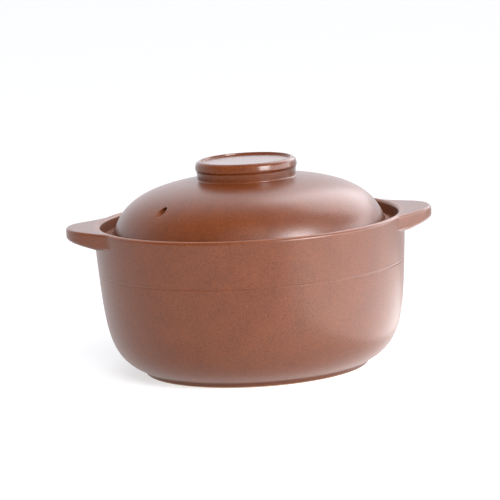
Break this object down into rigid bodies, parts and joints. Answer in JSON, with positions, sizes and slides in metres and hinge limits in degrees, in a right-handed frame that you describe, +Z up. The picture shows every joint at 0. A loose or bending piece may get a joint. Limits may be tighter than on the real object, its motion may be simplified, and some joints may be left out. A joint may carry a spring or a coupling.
{
  "type": "lidded sand pot",
  "caption": "Round brown stoneware pot with flat ears at the rim and a domed lift-off lid with a dished knob and a steam vent.",
  "frame": {"origin": "middle of the foot ring's underside, on the surface that the pot stands on", "axes": "+X through the two ears, +Y across them, +Z up along the turning axis"},
  "size_m": [0.258, 0.22, 0.1482],
  "materials": {
    "body_glaze": "satin brown glaze with fine darker specks, bare clay under the foot",
    "lid_glaze": "the same satin brown glaze, bare clay under the flange"
  },
  "bodies": {
    "pot": {"pot_body": "body_glaze", "ear_left": "body_glaze", "ear_right": "body_glaze"},
    "lid": {"lid_dome": "lid_glaze", "lid_knob": "lid_glaze"}
  },
  "joints": [
    {"name": "lid_lift", "type": "slide", "parent": "pot", "child": "lid", "axis": [0, 0, 1], "range_m": [0, 0.15]}
  ]
}
